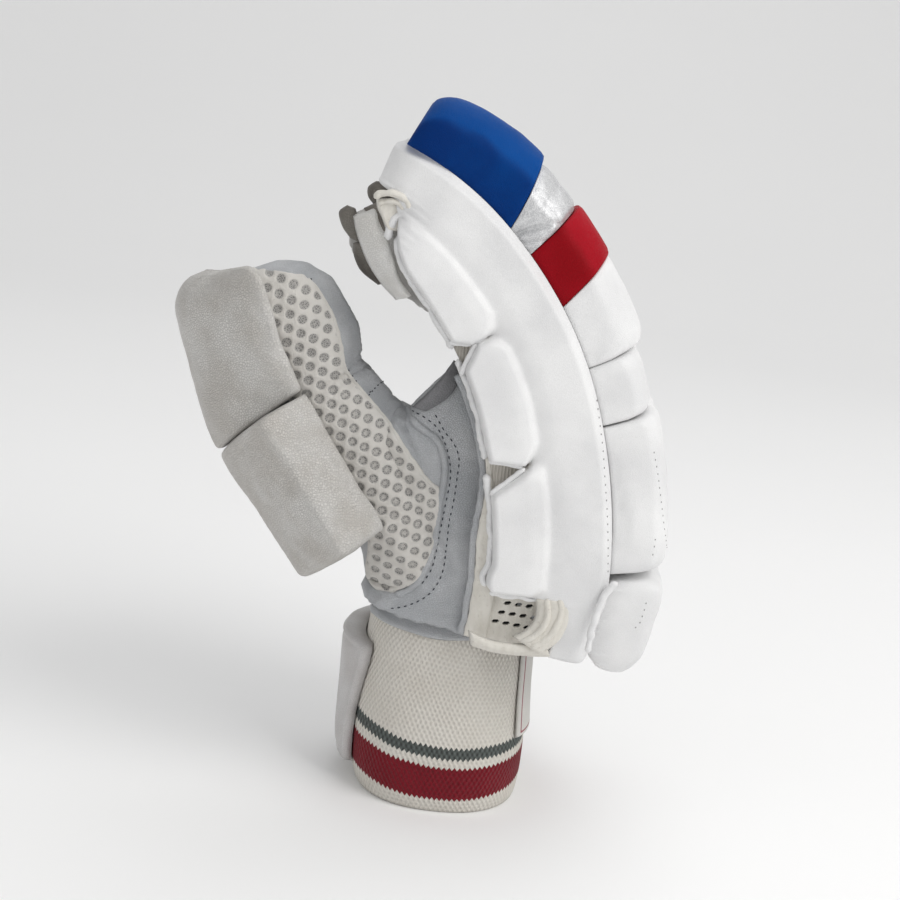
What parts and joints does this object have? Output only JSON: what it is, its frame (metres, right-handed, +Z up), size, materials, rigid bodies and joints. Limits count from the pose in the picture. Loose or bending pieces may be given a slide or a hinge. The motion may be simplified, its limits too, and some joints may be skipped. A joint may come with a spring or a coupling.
{
  "type": "cricket batting glove",
  "caption": "Right-hand cricket batting glove standing on its knitted cuff, with padded finger rolls, raised side pads, a guarded thumb with a mesh side and a leather palm.",
  "frame": {"origin": "centre of the bounding box on the floor plane that the cuff hem stands on", "axes": "+Z up from the cuff to the fingertips, -Y toward the index finger side, +X toward the back of the hand, -X toward the palm and thumb"},
  "size_m": [0.188, 0.1302, 0.2668],
  "materials": {
    "white_leather": "smooth semi-gloss",
    "blue_leather": "smooth semi-gloss",
    "red_leather": "smooth semi-gloss",
    "silver_leather": "crinkled metallic",
    "thumb_pad_leather": "fine grain, soft sheen",
    "palm_leather": "fine grain, matte",
    "mesh_fabric": "spacer mesh",
    "cuff_knit": "knitted, grey and maroon bands",
    "cream_trim": "matte trim",
    "strap_leather": "smooth",
    "label_fabric": "woven, bare"
  },
  "bodies": {
    "root": {"cuff": "cuff_knit", "closure_strap": "strap_leather", "wrist_label": "label_fabric", "index_stall": "palm_leather", "middle_stall": "palm_leather", "ring_stall": "palm_leather", "little_stall": "palm_leather", "thumb_mesh": "mesh_fabric", "thumb_leather": "palm_leather", "thumb_base_pad": "thumb_pad_leather", "thumb_tip_pad": "thumb_pad_leather", "palm_shell": "palm_leather", "index_base_roll": "white_leather", "index_middle_roll": "red_leather", "index_flex_roll": "silver_leather", "index_tip_roll": "blue_leather", "middle_base_roll": "white_leather", "middle_middle_roll": "red_leather", "middle_flex_roll": "silver_leather", "middle_tip_roll": "blue_leather", "ring_base_roll": "white_leather", "ring_middle_roll": "red_leather", "ring_flex_roll": "silver_leather", "ring_tip_roll": "blue_leather", "little_base_roll": "white_leather", "little_middle_roll": "red_leather", "little_flex_roll": "silver_leather", "little_tip_roll": "blue_leather", "index_back_block": "white_leather", "index_knuckle_block": "white_leather", "middle_back_block": "white_leather", "middle_knuckle_block": "white_leather", "ring_back_block": "white_leather", "ring_knuckle_block": "white_leather", "little_back_block": "white_leather", "little_knuckle_block": "white_leather", "wrist_flare": "white_leather", "index_side_panel": "white_leather", "side_pad_tip": "white_leather", "side_pad_middle": "white_leather", "side_pad_wrist": "white_leather", "side_welt": "cream_trim", "vent_panel": "cream_trim", "vent_binding": "cream_trim", "little_side_panel": "white_leather"}
  },
  "joints": []
}
